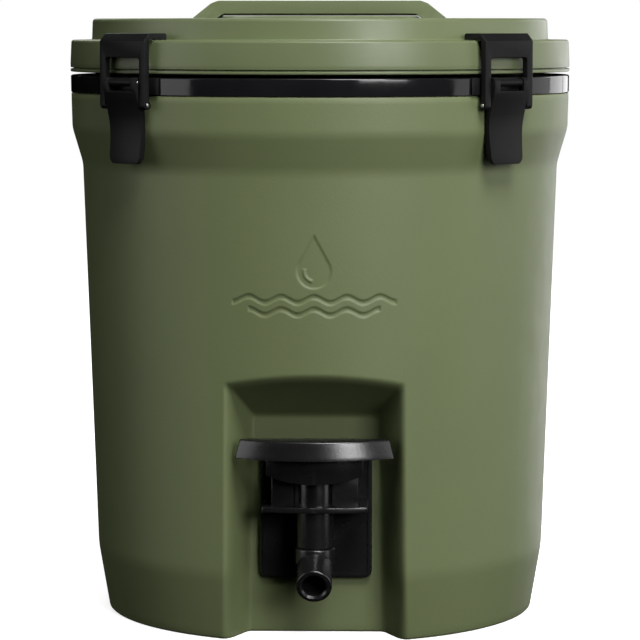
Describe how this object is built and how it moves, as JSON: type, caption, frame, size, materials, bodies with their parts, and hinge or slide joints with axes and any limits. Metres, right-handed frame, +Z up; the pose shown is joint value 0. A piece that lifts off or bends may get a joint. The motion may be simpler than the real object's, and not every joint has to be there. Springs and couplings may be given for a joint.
{
  "type": "insulated water jug",
  "caption": "Insulated round water jug with a tap in a front recess, a carrying bar on its lid and over-centre latches round the rim.",
  "frame": {"origin": "centre of the base, on the ground", "axes": "+Z up along the jug's axis, -Y towards the front, where the tap is, +X to the right of someone facing the tap"},
  "size_m": [0.2992, 0.2992, 0.3652],
  "materials": {
    "green_plastic": "satin",
    "black_plastic": "satin",
    "steel": "satin",
    "rubber": "matte",
    "white_plastic": "satin",
    "foam": "matte"
  },
  "bodies": {
    "root": {"foam_insulation": "foam", "inner_liner": "white_plastic", "latch_bracket_front_left": "black_plastic", "latch_bracket_front_right": "black_plastic", "latch_bracket_rear_left": "black_plastic", "latch_bracket_rear_right": "black_plastic", "latch_pivot_pin_front_left": "steel", "latch_pivot_pin_front_right": "steel", "latch_pivot_pin_rear_left": "steel", "latch_pivot_pin_rear_right": "steel", "outer_shell": "green_plastic", "rim_band": "black_plastic", "tap_back_plate": "black_plastic", "tap_body": "black_plastic", "tap_gasket": "rubber", "tap_nut": "black_plastic", "tap_nut_washer": "rubber", "tap_return_spring": "steel"},
    "lid": {"handle_screw_1": "steel", "handle_screw_2": "steel", "handle_screw_3": "steel", "handle_screw_4": "steel", "lid_base": "green_plastic", "lid_foam": "foam", "lid_gasket": "rubber", "lid_handle": "green_plastic", "lid_top": "green_plastic"},
    "lever_front_left": {"latch_lever_front_left": "black_plastic", "latch_link_pin_front_left": "steel"},
    "hook_front_left": {"latch_hook_front_left": "black_plastic"},
    "lever_front_right": {"latch_lever_front_right": "black_plastic", "latch_link_pin_front_right": "steel"},
    "hook_front_right": {"latch_hook_front_right": "black_plastic"},
    "lever_rear_left": {"latch_lever_rear_left": "black_plastic", "latch_link_pin_rear_left": "steel"},
    "hook_rear_left": {"latch_hook_rear_left": "black_plastic"},
    "lever_rear_right": {"latch_lever_rear_right": "black_plastic", "latch_link_pin_rear_right": "steel"},
    "hook_rear_right": {"latch_hook_rear_right": "black_plastic"},
    "paddle": {"tap_paddle": "black_plastic", "valve_stem": "steel", "valve_seal": "rubber"},
    "nozzle": {"nozzle_elbow": "black_plastic", "nozzle_o_ring": "rubber"}
  },
  "joints": [
    {"name": "lid_lift", "type": "slide", "parent": "root", "child": "lid", "axis": [0, 0, 1], "range_m": [0, 0.2]},
    {"name": "lever_front_left_hinge", "type": "hinge", "parent": "root", "child": "lever_front_left", "pos_m": [-0.10925, -0.10925, 0.3183], "axis": [-0.7071, 0.7071, 0], "range_deg": [0, 110]},
    {"name": "hook_front_left_hinge", "type": "hinge", "parent": "lever_front_left", "child": "hook_front_left", "pos_m": [-0.10776, -0.10776, 0.3056], "axis": [-0.7071, 0.7071, 0], "range_deg": [-137.5, 0]},
    {"name": "lever_front_right_hinge", "type": "hinge", "parent": "root", "child": "lever_front_right", "pos_m": [0.10925, -0.10925, 0.3183], "axis": [-0.7071, -0.7071, 0], "range_deg": [0, 110]},
    {"name": "hook_front_right_hinge", "type": "hinge", "parent": "lever_front_right", "child": "hook_front_right", "pos_m": [0.10776, -0.10776, 0.3056], "axis": [-0.7071, -0.7071, 0], "range_deg": [-137.5, 0]},
    {"name": "lever_rear_left_hinge", "type": "hinge", "parent": "root", "child": "lever_rear_left", "pos_m": [-0.10925, 0.10925, 0.3183], "axis": [0.7071, 0.7071, 0], "range_deg": [0, 110]},
    {"name": "hook_rear_left_hinge", "type": "hinge", "parent": "lever_rear_left", "child": "hook_rear_left", "pos_m": [-0.10776, 0.10776, 0.3056], "axis": [0.7071, 0.7071, 0], "range_deg": [-137.5, 0]},
    {"name": "lever_rear_right_hinge", "type": "hinge", "parent": "root", "child": "lever_rear_right", "pos_m": [0.10925, 0.10925, 0.3183], "axis": [0.7071, -0.7071, 0], "range_deg": [0, 110]},
    {"name": "hook_rear_right_hinge", "type": "hinge", "parent": "lever_rear_right", "child": "hook_rear_right", "pos_m": [0.10776, 0.10776, 0.3056], "axis": [0.7071, -0.7071, 0], "range_deg": [-137.5, 0]},
    {"name": "paddle_press", "type": "slide", "parent": "root", "child": "paddle", "axis": [0, 0, -1], "range_m": [0, 0.008], "stiffness_N_per_m": 600, "springref_m": -0.005, "deforming": ["tap_return_spring"]},
    {"name": "nozzle_swivel", "type": "hinge", "parent": "root", "child": "nozzle", "pos_m": [0, -0.116, 0.0541], "axis": [0, 0, 1], "range_deg": [-45, 45]}
  ],
  "couplings": [
    {"joint": "hook_front_left_hinge", "follows": "lever_front_left_hinge", "ratio": -1.25},
    {"joint": "hook_front_right_hinge", "follows": "lever_front_right_hinge", "ratio": -1.25},
    {"joint": "hook_rear_left_hinge", "follows": "lever_rear_left_hinge", "ratio": -1.25},
    {"joint": "hook_rear_right_hinge", "follows": "lever_rear_right_hinge", "ratio": -1.25}
  ]
}
